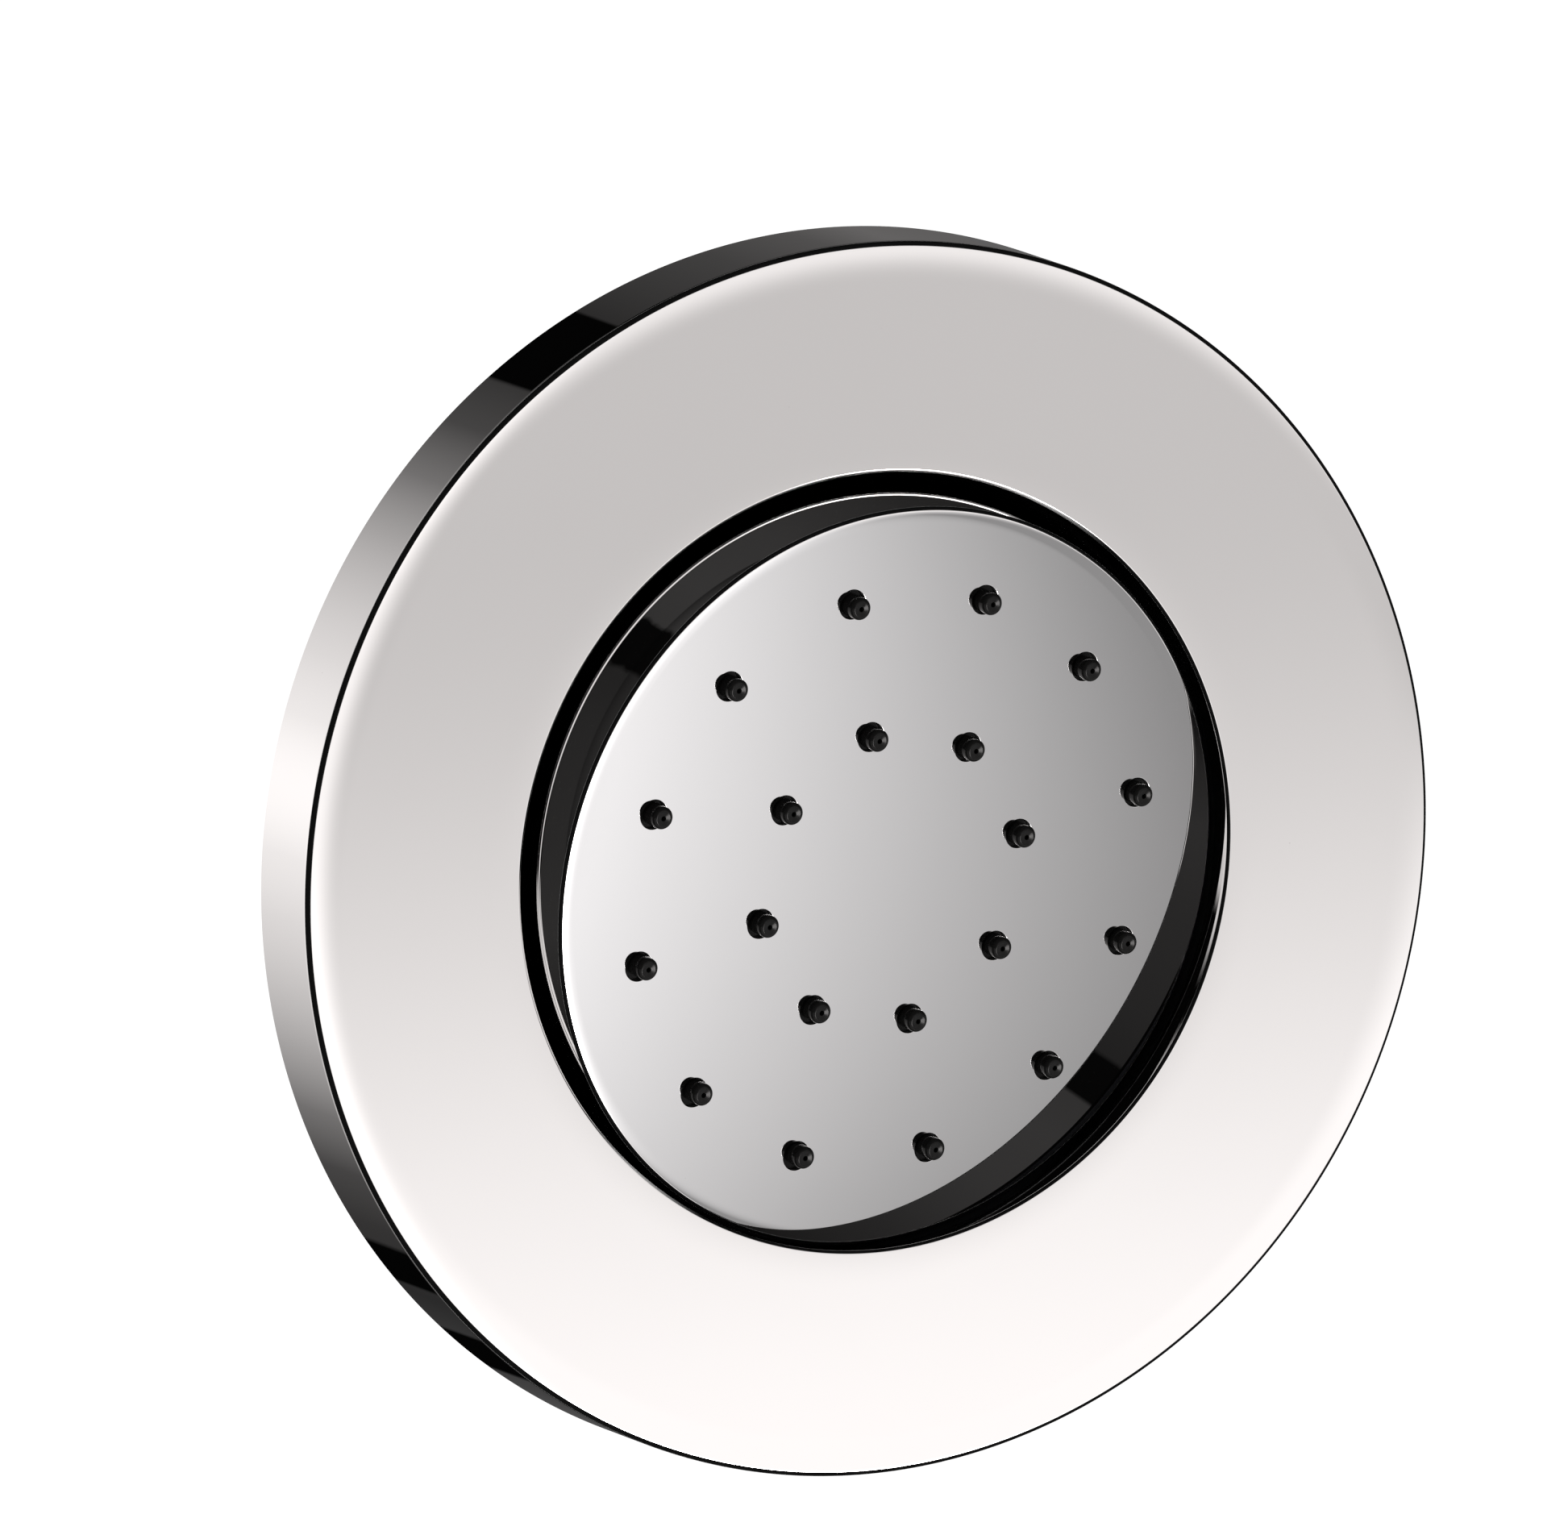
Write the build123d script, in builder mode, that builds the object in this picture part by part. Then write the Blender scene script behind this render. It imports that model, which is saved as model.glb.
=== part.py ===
from build123d import *
import math
import os

os.makedirs("parts", exist_ok=True)

# ---------------------------------------------------------------------------
# Shower body jet: a tiltable ball-shaped spray head in a round wall flange.
# Frame: +Z up, the wall's surface is the plane Y = 0, the room is on the -Y
# side and the water inlet on the +Y side. The inlet axis is the Y axis.
# Profiles are drawn as (radius, height), height counted toward the room.
# ---------------------------------------------------------------------------

# flange cover
FLANGE_R = 60.0            # outer radius at the wall
FRONT_R = 59.65            # outer radius at the front, the rim tapers a little
FLANGE_DEPTH = 10.0        # wall to front face
FLANGE_WALL = 1.5
FLANGE_EDGE = 0.5          # rounding of the outer front edge
OPEN_R = 37.6              # opening radius
OPEN_EDGE = 0.25           # rounding of the opening's front edge
COLLAR_DEPTH = 4.4         # depth of the collar round the opening
COLLAR_FLARE = 0.7         # widening of the collar toward its rear edge
GRIP_R = 44.7              # inner radius of the ring that grips the O-ring
GRIP_WALL = 1.7

# spray head
PIVOT_Y = 5.9              # ball centre, behind the wall's surface
FACE_R = 36.3              # radius of the flat face
FACE_H = 15.5              # face above the ball centre
BALL_R = math.hypot(FACE_R, FACE_H)   # radius of the head's rounded side
FACE_T = 1.5               # thickness of the face
FACE_EDGE = 0.3
SHELL_BORE = 34.8
SHELL_BACK = -7.0          # rear edge of the shell
TILT = 8.035               # tilt of the head as it stands
TILT_DIR = 40.0            # tilt axis in the XZ plane, degrees from +X
RING_OUT = 28.14           # outer ring: four single nozzles, a pair between each two
PAIR_HALF = 14.45          # half the angle between the two nozzles of a pair
RING_IN, N_IN = 14.59, 8
RING_START = 12.04         # angle of the first nozzle
HOLE_R = 1.43
HOLE_EDGE = 0.07
NUB_R = 1.07
NUB_H = 1.5                # nozzle height above the face
NUB_EDGE = 0.22
JET_R = 0.3

# stack behind the face, heights above the ball centre
MAT_TOP = FACE_H - FACE_T
MAT_T = 1.3
MAT_BACK = MAT_TOP - MAT_T
PLATE_T = 1.5
PLATE_BACK = MAT_BACK - PLATE_T
STACK_R = 34.6
CHAMBER_R = 31.2
CHAMBER_FLOOR = 3.2
BACK_FACE = 1.0            # rear face of the chamber's back
HUB_R = 14.0
HUB_BORE = 12.0
HUB_END = -5.0

# ball joint
STUD_BALL = 8.0
SEAT_R = 8.05              # seats clear the ball by 0.05
NECK_R = 4.3
NECK_END = -17.0
STUD_END = -31.5

# inlet
G_HALF_R = 10.48           # G 1/2 outside radius
G_THREE_R = 13.2           # G 3/4 outside radius
INLET_END = -55.2
INLET_STEP = -40.2

# wall box and fixing plate
BOX_IN = 40.0
BOX_FRONT = 7.4
BOX_OUT = 42.0
BOX_PLATE_R = 54.6
BOX_COLLAR_R = 44.4         # collar the flange is pushed over
BOX_GROOVE_R = 42.8
BOX_TAPER = -27.6          # where the barrel starts to narrow
BOX_END_R = 34.0
BOX_BACK_IN = -37.4
BOX_BACK_OUT = -40.4
SCREW_PCR = 50.2
SCREW_R = 1.9
SCREW_TIP = -15.0
N_SCREWS = 3

# ---------------------------------------------------------------------------
# Planes
# ---------------------------------------------------------------------------
ROOM = Vector(0, -1, 0)
PIVOT = Vector(0, PIVOT_Y, 0)

PROFILE = Plane(origin=(0, 0, 0), x_dir=(1, 0, 0), z_dir=(0, 0, -1))
WALL = Plane(origin=(0, 0, 0), x_dir=(1, 0, 0), z_dir=(0, -1, 0))
STUD_PROFILE = Plane(origin=PIVOT, x_dir=(1, 0, 0), z_dir=(0, 0, -1))
STUD = Plane(origin=PIVOT, x_dir=(1, 0, 0), z_dir=(0, -1, 0))
AXIS = Axis((0, 0, 0), (0, -1, 0))

tilt_axis = Axis(
    (0, 0, 0),
    (math.cos(math.radians(TILT_DIR)), 0, math.sin(math.radians(TILT_DIR))),
)
HEAD_X = Vector(1, 0, 0).rotate(tilt_axis, TILT)
HEAD_N = ROOM.rotate(tilt_axis, TILT)
HEAD = Plane(origin=PIVOT, x_dir=HEAD_X, z_dir=HEAD_N)
HEAD_PROFILE = Plane(origin=PIVOT, x_dir=HEAD_X, z_dir=HEAD_X.cross(HEAD_N))
HEAD_AXIS = Axis(PIVOT, HEAD_N)

# nozzle centres in the plane of the face
NOZZLES = []
for quarter in range(4):
    for step in (0, 45 - PAIR_HALF, 45 + PAIR_HALF):
        angle = math.radians(RING_START + 90 * quarter + step)
        NOZZLES.append((RING_OUT * math.cos(angle), RING_OUT * math.sin(angle)))
for i in range(N_IN):
    angle = math.radians(RING_START + 360 / N_IN * i)
    NOZZLES.append((RING_IN * math.cos(angle), RING_IN * math.sin(angle)))


# ---------------------------------------------------------------------------
# Flange cover: turned in one piece, hollow behind
# ---------------------------------------------------------------------------
with BuildPart() as flange_cover:
    with BuildSketch(PROFILE):
        with BuildLine():
            back = FLANGE_DEPTH - FLANGE_WALL
            rim_in = FLANGE_R - FLANGE_WALL
            col_in = OPEN_R + COLLAR_FLARE
            col_out = col_in + 1.2
            col_end = FLANGE_DEPTH - COLLAR_DEPTH
            k = math.sqrt(0.5)
            Line((OPEN_R + OPEN_EDGE, FLANGE_DEPTH), (FRONT_R - FLANGE_EDGE, FLANGE_DEPTH))
            ThreePointArc(
                (FRONT_R - FLANGE_EDGE, FLANGE_DEPTH),
                (FRONT_R - FLANGE_EDGE * (1 - k), FLANGE_DEPTH - FLANGE_EDGE * (1 - k)),
                (FRONT_R, FLANGE_DEPTH - FLANGE_EDGE),
            )
            Polyline(
                (FRONT_R, FLANGE_DEPTH - FLANGE_EDGE),
                (FLANGE_R, 0.25),
                (FLANGE_R - 0.25, 0),
                (rim_in, 0),
                (rim_in, back),
                (GRIP_R + GRIP_WALL, back),
                (GRIP_R + GRIP_WALL, 3.3),
                (GRIP_R + GRIP_WALL - 0.3, 3.0),
                (GRIP_R + 0.4, 3.0),
                (GRIP_R, 3.4),
                (GRIP_R, back),
                (col_out, back),
                (col_out, col_end + 0.2),
                (col_out - 0.2, col_end),
                (col_in + 0.2, col_end),
                (col_in, col_end + 0.2),
                (OPEN_R, FLANGE_DEPTH - OPEN_EDGE),
            )
            ThreePointArc(
                (OPEN_R, FLANGE_DEPTH - OPEN_EDGE),
                (OPEN_R + OPEN_EDGE * (1 - k), FLANGE_DEPTH - OPEN_EDGE * (1 - k)),
                (OPEN_R + OPEN_EDGE, FLANGE_DEPTH),
            )
        make_face()
    revolve(axis=AXIS)
flange_cover.part.label = "flange_cover"
export_step(flange_cover.part, "parts/flange_cover.step")

# Soft strip inside the rim, flush with the wall's surface
with BuildPart() as wall_gasket:
    with BuildSketch(WALL):
        Circle(FLANGE_R - FLANGE_WALL)
        Circle(55.2, mode=Mode.SUBTRACT)
    extrude(amount=2.6)
wall_gasket.part.label = "wall_gasket"
export_step(wall_gasket.part, "parts/wall_gasket.step")

# O-ring between the box's collar and the flange's grip ring
with BuildPart() as cover_o_ring:
    with BuildSketch(PROFILE):
        with Locations((BOX_GROOVE_R + 0.95, 5.35)):
            Circle(0.94)
    revolve(axis=AXIS)
cover_o_ring.part.label = "cover_o_ring"
export_step(cover_o_ring.part, "parts/cover_o_ring.step")

# ---------------------------------------------------------------------------
# Fixing plate: screwed to the wall, with the collar that carries the flange
# ---------------------------------------------------------------------------
with BuildPart() as fixing_plate:
    with BuildSketch(PROFILE):
        with BuildLine():
            Polyline(
                (BOX_OUT + 0.05, 7.6),
                (BOX_COLLAR_R - 0.5, 7.6),
                (BOX_COLLAR_R, 7.1),
                (BOX_COLLAR_R, 6.3),
                (BOX_GROOVE_R, 6.3),
                (BOX_GROOVE_R, 4.4),
                (BOX_COLLAR_R, 4.4),
                (BOX_COLLAR_R, 2.0),
                (BOX_PLATE_R - 0.4, 2.0),
                (BOX_PLATE_R, 1.6),
                (BOX_PLATE_R, 0.4),
                (BOX_OUT + 0.05, 0.4),
                close=True,
            )
        make_face()
    revolve(axis=AXIS)
    # countersunk screw holes
    with Locations(WALL.offset(2.0)):
        with PolarLocations(SCREW_PCR, N_SCREWS, start_angle=90):
            CounterSinkHole(radius=SCREW_R + 0.2, counter_sink_radius=SCREW_R + 2.0, depth=4, counter_sink_angle=90)
fixing_plate.part.label = "fixing_plate"
export_step(fixing_plate.part, "parts/fixing_plate.step")

# ---------------------------------------------------------------------------
# Wall box: moulded cup pressed into the fixing plate
# ---------------------------------------------------------------------------
with BuildPart() as wall_box:
    with BuildSketch(PROFILE):
        with BuildLine():
            Polyline(
                (BOX_IN, BOX_FRONT),
                (BOX_OUT - 0.5, BOX_FRONT),
                (BOX_OUT, BOX_FRONT - 0.5),
                (BOX_OUT, BOX_TAPER),
                (BOX_END_R, BOX_BACK_OUT),
                (G_THREE_R + 0.2, BOX_BACK_OUT),
                (G_THREE_R + 0.2, BOX_BACK_IN),
                (BOX_END_R - 2.0, BOX_BACK_IN),
                (BOX_IN, BOX_TAPER + 1.0),
                close=True,
            )
        make_face()
    revolve(axis=AXIS)
wall_box.part.label = "wall_box"
export_step(wall_box.part, "parts/wall_box.step")

# Countersunk screws with cross slots
with BuildPart() as box_screws:
    with BuildSketch(WALL.offset(1.95)):
        with PolarLocations(SCREW_PCR, N_SCREWS, start_angle=90):
            Circle(SCREW_R + 1.7)
    extrude(amount=-1.7, taper=45)
    with BuildSketch(WALL.offset(0.5)):
        with PolarLocations(SCREW_PCR, N_SCREWS, start_angle=90):
            Circle(SCREW_R)
    extrude(amount=SCREW_TIP - 0.5)
    with BuildSketch(WALL.offset(1.95)):
        with PolarLocations(SCREW_PCR, N_SCREWS, start_angle=90):
            Rectangle(4.2, 0.9)
            Rectangle(0.9, 4.2)
    extrude(amount=-0.9, mode=Mode.SUBTRACT)
box_screws.part.label = "box_screws"
export_step(box_screws.part, "parts/box_screws.step")

# ---------------------------------------------------------------------------
# Inlet: body, washer, lock nut, filter, regulator (heights from ball centre)
# ---------------------------------------------------------------------------
with BuildPart() as inlet_body:
    with BuildSketch(STUD.offset(-30.0)):
        RegularPolygon(19.4, 6)
    extrude(amount=4.0)
    with BuildSketch(STUD_PROFILE):
        with BuildLine():
            Polyline(
                (0, -25.6), (17.2, -25.6), (19.6, -26.8), (19.6, -29.2), (17.2, -30.4), (0, -30.4),
                close=True,
            )
        make_face()
    revolve(axis=AXIS, mode=Mode.INTERSECT)
    with BuildSketch(STUD_PROFILE):
        with BuildLine():
            Polyline(
                (8.8, -16.0), (11.2, -16.0), (12.0, -16.8), (12.0, -30.0), (G_THREE_R, -30.0),
                (G_THREE_R, INLET_STEP + 0.8), (G_THREE_R - 0.8, INLET_STEP), (G_HALF_R, INLET_STEP),
                (G_HALF_R, INLET_END + 1.0), (G_HALF_R - 1.0, INLET_END),
                (7.6, INLET_END), (7.6, -52.6), (5.6, -52.6), (5.6, -37.0), (4.5, -37.0),
                (4.5, -32.0), (6.55, -32.0), (6.55, -20.3), (8.8, -20.3),
                close=True,
            )
        make_face()
    revolve(axis=AXIS)
    # clear the bores through the hexagon
    with BuildSketch(STUD_PROFILE):
        with BuildLine():
            Polyline((0, -25.0), (6.55, -25.0), (6.55, -32.0), (0, -32.0), close=True)
        make_face()
    revolve(axis=AXIS, mode=Mode.SUBTRACT)
inlet_body.part.label = "inlet_body"
export_step(inlet_body.part, "parts/inlet_body.step")

with BuildPart() as box_washer:
    with BuildSketch(STUD.offset(-31.5)):
        Circle(18.5)
        Circle(G_THREE_R + 0.1, mode=Mode.SUBTRACT)
    extrude(amount=1.5)
box_washer.part.label = "box_washer"
export_step(box_washer.part, "parts/box_washer.step")

with BuildPart() as lock_nut:
    with BuildSketch(WALL.offset(BOX_BACK_OUT - 5.0)):
        RegularPolygon(19.6, 6)
    extrude(amount=5.0)
    with BuildSketch(PROFILE):
        with BuildLine():
            Polyline(
                (G_THREE_R, BOX_BACK_OUT), (17.4, BOX_BACK_OUT), (19.8, BOX_BACK_OUT - 1.2),
                (19.8, BOX_BACK_OUT - 3.8), (17.4, BOX_BACK_OUT - 5.0), (G_THREE_R, BOX_BACK_OUT - 5.0),
                close=True,
            )
        make_face()
    revolve(axis=AXIS, mode=Mode.INTERSECT)
lock_nut.part.label = "lock_nut"
export_step(lock_nut.part, "parts/lock_nut.step")

# Filter: a rim with a drilled disc
with BuildPart() as inlet_filter:
    with BuildSketch(STUD_PROFILE):
        with BuildLine():
            Polyline(
                (0, -53.1), (5.4, -53.1), (5.4, -52.65), (7.5, -52.65), (7.5, -54.6),
                (6.3, -54.6), (6.3, -53.6), (0, -53.6),
                close=True,
            )
        make_face()
    revolve(axis=AXIS)
    with BuildSketch(STUD.offset(-52.9)):
        with HexLocations(0.95, 5, 5):
            Circle(0.5)
    extrude(amount=-1.2, mode=Mode.SUBTRACT)
inlet_filter.part.label = "inlet_filter"
export_step(inlet_filter.part, "parts/inlet_filter.step")

# Flow regulator: a cartridge with a centre post and a ring of ports
with BuildPart() as flow_regulator:
    with BuildSketch(STUD_PROFILE):
        with BuildLine():
            Polyline(
                (0, -37.6), (1.4, -37.6), (1.8, -38.2), (1.8, -40.0), (4.4, -40.0), (4.4, -37.05),
                (5.5, -37.05), (5.5, -44.0), (4.4, -44.0), (4.4, -42.0), (0, -42.0),
                close=True,
            )
        make_face()
    revolve(axis=AXIS)
    with BuildSketch(STUD.offset(-39.5)):
        with PolarLocations(3.1, 6):
            Circle(0.75)
    extrude(amount=-3.0, mode=Mode.SUBTRACT)
flow_regulator.part.label = "flow_regulator"
export_step(flow_regulator.part, "parts/flow_regulator.step")

# ---------------------------------------------------------------------------
# Ball stud and the gland that holds it
# ---------------------------------------------------------------------------
with BuildPart() as ball_stud:
    front = 4.4
    rim = math.sqrt(STUD_BALL ** 2 - front ** 2)
    neck = -math.sqrt(STUD_BALL ** 2 - NECK_R ** 2)
    with BuildSketch(STUD_PROFILE):
        with BuildLine():
            ThreePointArc((rim, front), (STUD_BALL, 0), (NECK_R, neck))
            Polyline(
                (NECK_R, neck), (NECK_R, NECK_END), (8.5, NECK_END), (8.5, -20.0), (6.5, -20.0),
                (6.5, -22.0), (5.1, -22.0), (5.1, -23.6), (6.5, -23.6), (6.5, -26.0),
                (5.1, -26.0), (5.1, -27.6), (6.5, -27.6), (6.5, STUD_END + 0.5),
                (6.0, STUD_END), (3.0, STUD_END), (3.0, 1.6), (4.6, front), (rim, front),
            )
        make_face()
    revolve(axis=AXIS)
ball_stud.part.label = "ball_stud"
export_step(ball_stud.part, "parts/ball_stud.step")

with BuildPart() as stud_o_rings:
    with BuildSketch(STUD_PROFILE):
        with Locations((5.8, -22.8), (5.8, -26.8)):
            Circle(0.69)
    revolve(axis=AXIS)
stud_o_rings.part.label = "stud_o_rings"
export_step(stud_o_rings.part, "parts/stud_o_rings.step")

with BuildPart() as slip_washer:
    with BuildSketch(STUD.offset(-16.85)):
        Circle(8.7)
        Circle(4.9, mode=Mode.SUBTRACT)
    extrude(amount=0.85)
slip_washer.part.label = "slip_washer"
export_step(slip_washer.part, "parts/slip_washer.step")

with BuildPart() as gland_nut:
    with BuildSketch(STUD.offset(-24.5)):
        RegularPolygon(17.3, 6)
    extrude(amount=11.0)
    with BuildSketch(STUD_PROFILE):
        with BuildLine():
            Polyline(
                (4.8, -13.5), (15.0, -13.5), (17.4, -14.7), (17.4, -23.3), (15.0, -24.5),
                (12.0, -24.5), (12.0, -16.0), (4.8, -16.0),
                close=True,
            )
        make_face()
    revolve(axis=AXIS, mode=Mode.INTERSECT)
gland_nut.part.label = "gland_nut"
export_step(gland_nut.part, "parts/gland_nut.step")

# ---------------------------------------------------------------------------
# Spray head, built tilted as it stands
# ---------------------------------------------------------------------------
with BuildPart() as spray_shell:
    with BuildSketch(HEAD_PROFILE):
        with BuildLine():
            # rounded edge between face and ball: a small arc tangent to both
            c_h = FACE_H - FACE_EDGE
            c_r = math.sqrt((BALL_R - FACE_EDGE) ** 2 - c_h ** 2)
            s = BALL_R / (BALL_R - FACE_EDGE)
            on_ball = (c_r * s, c_h * s)
            half = (math.atan2(c_h, c_r) + math.pi / 2) / 2
            mid = (c_r + FACE_EDGE * math.cos(half), c_h + FACE_EDGE * math.sin(half))
            back_r = math.sqrt(BALL_R ** 2 - SHELL_BACK ** 2)
            Line((0, FACE_H), (c_r, FACE_H))
            ThreePointArc((c_r, FACE_H), mid, on_ball)
            ThreePointArc(on_ball, (BALL_R, 0), (back_r, SHELL_BACK))
            Polyline(
                (back_r, SHELL_BACK), (SHELL_BORE + 0.6, SHELL_BACK), (SHELL_BORE, SHELL_BACK + 0.6),
                (SHELL_BORE, MAT_TOP), (0, MAT_TOP), (0, FACE_H),
            )
        make_face()
    revolve(axis=HEAD_AXIS)
    with BuildSketch(HEAD.offset(FACE_H + 1)):
        with Locations(*NOZZLES):
            Circle(HOLE_R)
    extrude(amount=-(FACE_T + 2), mode=Mode.SUBTRACT)
    hole_mouths = [
        e for e in spray_shell.edges().filter_by(GeomType.CIRCLE)
        if abs(e.radius - HOLE_R) < 1e-4 and abs((e.arc_center - PIVOT).dot(HEAD_N) - FACE_H) < 1e-4
    ]
    fillet(hole_mouths, HOLE_EDGE)
spray_shell.part.label = "spray_shell"
export_step(spray_shell.part, "parts/spray_shell.step")

# Nozzle mat: disc, plugs that fill the face's holes, and the nozzles
with BuildPart() as nozzle_mat:
    with BuildSketch(HEAD.offset(MAT_BACK)):
        Circle(STACK_R)
    extrude(amount=MAT_T)
    with BuildSketch(HEAD.offset(MAT_TOP)):
        with Locations(*NOZZLES):
            Circle(HOLE_R - 0.03)
    extrude(amount=FACE_T - 0.55)
    with BuildSketch(HEAD.offset(MAT_TOP)):
        with Locations(*NOZZLES):
            Circle(NUB_R)
    extrude(amount=FACE_T + NUB_H)
    tips = [
        e for e in nozzle_mat.edges().filter_by(GeomType.CIRCLE)
        if abs((e.arc_center - PIVOT).dot(HEAD_N) - (FACE_H + NUB_H)) < 1e-4
    ]
    fillet(tips, NUB_EDGE)
    with BuildSketch(HEAD.offset(MAT_BACK)):
        with Locations(*NOZZLES):
            Circle(0.7)
    extrude(amount=MAT_T + 1.0, mode=Mode.SUBTRACT)
    with BuildSketch(HEAD.offset(MAT_BACK)):
        with Locations(*NOZZLES):
            Circle(JET_R)
    extrude(amount=MAT_T + FACE_T + NUB_H + 1, mode=Mode.SUBTRACT)
nozzle_mat.part.label = "nozzle_mat"
export_step(nozzle_mat.part, "parts/nozzle_mat.step")

# Distributor plate: one port behind each nozzle
with BuildPart() as distributor_plate:
    with BuildSketch(HEAD.offset(PLATE_BACK)):
        Circle(STACK_R)
        with Locations(*NOZZLES):
            Circle(1.5, mode=Mode.SUBTRACT)
    extrude(amount=PLATE_T)
distributor_plate.part.label = "distributor_plate"
export_step(distributor_plate.part, "parts/distributor_plate.step")

# Back of the water chamber, with the hub of the ball joint
with BuildPart() as chamber_back:
    with BuildSketch(HEAD_PROFILE):
        with BuildLine():
            Polyline(
                (STACK_R, PLATE_BACK), (CHAMBER_R, PLATE_BACK), (CHAMBER_R, CHAMBER_FLOOR + 0.8),
                (CHAMBER_R - 0.8, CHAMBER_FLOOR), (HUB_R + 0.8, CHAMBER_FLOOR), (HUB_R, CHAMBER_FLOOR + 0.8),
                (HUB_R, 5.3), (HUB_R - 0.5, 5.8), (7.4, 5.8), (7.4, 4.8), (HUB_BORE, 4.8),
                (HUB_BORE, HUB_END), (HUB_R - 0.6, HUB_END), (HUB_R, HUB_END + 0.6), (HUB_R, BACK_FACE),
                (STACK_R, BACK_FACE), (STACK_R, 3.2), (32.9, 3.2), (32.9, 5.2), (STACK_R, 5.2),
                close=True,
            )
        make_face()
    revolve(axis=HEAD_AXIS)
    # ribs on the back, between hub and rim
    with BuildSketch(HEAD.offset(BACK_FACE)):
        with PolarLocations(23.8, 6):
            Rectangle(9.0, 1.6)
    extrude(amount=-1.6)
chamber_back.part.label = "chamber_back"
export_step(chamber_back.part, "parts/chamber_back.step")

with BuildPart() as chamber_o_ring:
    with BuildSketch(HEAD_PROFILE):
        with Locations((33.85, 4.2)):
            Circle(0.94)
    revolve(axis=HEAD_AXIS)
chamber_o_ring.part.label = "chamber_o_ring"
export_step(chamber_o_ring.part, "parts/chamber_o_ring.step")

# Threaded ring that clamps the stack, with four spanner notches
with BuildPart() as shell_ring:
    with BuildSketch(HEAD.offset(BACK_FACE)):
        Circle(SHELL_BORE)
        Circle(29.6, mode=Mode.SUBTRACT)
    extrude(amount=-3.6)
    with BuildSketch(HEAD.offset(BACK_FACE - 3.6)):
        with PolarLocations(30.2, 4, start_angle=45):
            Rectangle(3.0, 3.2)
    extrude(amount=2.0, mode=Mode.SUBTRACT)
shell_ring.part.label = "shell_ring"
export_step(shell_ring.part, "parts/shell_ring.step")

# Seats of the ball joint
def ball_r(h):
    """Radius of the seats' spherical face at height h."""
    return math.sqrt(SEAT_R ** 2 - h ** 2)


with BuildPart() as front_seat:
    with BuildSketch(HEAD_PROFILE):
        with BuildLine():
            ThreePointArc((ball_r(0.8), 0.8), (ball_r(2.8), 2.8), (ball_r(4.75), 4.75))
            Polyline(
                (ball_r(4.75), 4.75), (9.8, 4.75), (9.8, 2.9), (HUB_BORE - 0.05, 2.9),
                (HUB_BORE - 0.05, 0.8), (ball_r(0.8), 0.8),
            )
        make_face()
    revolve(axis=HEAD_AXIS)
front_seat.part.label = "front_seat"
export_step(front_seat.part, "parts/front_seat.step")

with BuildPart() as seat_o_ring:
    with BuildSketch(HEAD_PROFILE):
        with Locations((10.88, 3.85)):
            Circle(0.93)
    revolve(axis=HEAD_AXIS)
seat_o_ring.part.label = "seat_o_ring"
export_step(seat_o_ring.part, "parts/seat_o_ring.step")

with BuildPart() as rear_seat:
    with BuildSketch(HEAD_PROFILE):
        with BuildLine():
            ThreePointArc((ball_r(0.8), -0.8), (ball_r(3.0), -3.0), (ball_r(5.15), -5.15))
            Polyline(
                (ball_r(5.15), -5.15), (HUB_BORE - 0.05, -5.15), (HUB_BORE - 0.05, -0.8), (ball_r(0.8), -0.8),
            )
        make_face()
    revolve(axis=HEAD_AXIS)
rear_seat.part.label = "rear_seat"
export_step(rear_seat.part, "parts/rear_seat.step")

# Nut that closes the ball joint
with BuildPart() as ball_nut:
    with BuildSketch(HEAD.offset(-8.0)):
        RegularPolygon(18.4, 6)
    extrude(amount=7.2)
    with BuildSketch(HEAD_PROFILE):
        with BuildLine():
            Polyline(
                (HUB_R, -0.8), (16.2, -0.8), (18.6, -2.0), (18.6, -6.8), (16.2, -8.0), (7.6, -8.0),
                (6.8, -7.2), (6.8, -5.2), (HUB_R, -5.2),
                close=True,
            )
        make_face()
    revolve(axis=HEAD_AXIS, mode=Mode.INTERSECT)
ball_nut.part.label = "ball_nut"
export_step(ball_nut.part, "parts/ball_nut.step")
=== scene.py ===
import bmesh
import bpy
import math
from mathutils import Matrix, Vector


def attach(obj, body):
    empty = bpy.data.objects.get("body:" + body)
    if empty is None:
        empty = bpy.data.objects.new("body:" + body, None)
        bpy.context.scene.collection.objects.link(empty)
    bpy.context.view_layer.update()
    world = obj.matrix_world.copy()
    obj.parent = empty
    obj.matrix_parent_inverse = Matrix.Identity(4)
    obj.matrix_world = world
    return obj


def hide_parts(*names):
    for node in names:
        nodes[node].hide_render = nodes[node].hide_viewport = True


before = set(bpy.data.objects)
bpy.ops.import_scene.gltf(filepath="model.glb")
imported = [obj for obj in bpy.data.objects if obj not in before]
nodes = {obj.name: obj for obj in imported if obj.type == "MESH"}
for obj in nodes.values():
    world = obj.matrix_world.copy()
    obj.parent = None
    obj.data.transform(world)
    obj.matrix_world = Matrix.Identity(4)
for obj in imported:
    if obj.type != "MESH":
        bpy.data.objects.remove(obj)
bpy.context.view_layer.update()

MM = 0.001
SEG = 384

# ---------------------------------------------------------------------------
# Frames: heights are counted toward the room, angles run from +X to +Z
# ---------------------------------------------------------------------------
ROOM = Vector((0, -1, 0))
PIVOT = Vector((0, 5.9, 0))
TILT, TILT_DIR = math.radians(8.035), math.radians(40.0)
R_TILT = Matrix.Rotation(TILT, 3, Vector((math.cos(TILT_DIR), 0, math.sin(TILT_DIR))))
HEAD_N = R_TILT @ ROOM
HEAD_X = R_TILT @ Vector((1, 0, 0))
HEAD_Z = R_TILT @ Vector((0, 0, 1))

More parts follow.
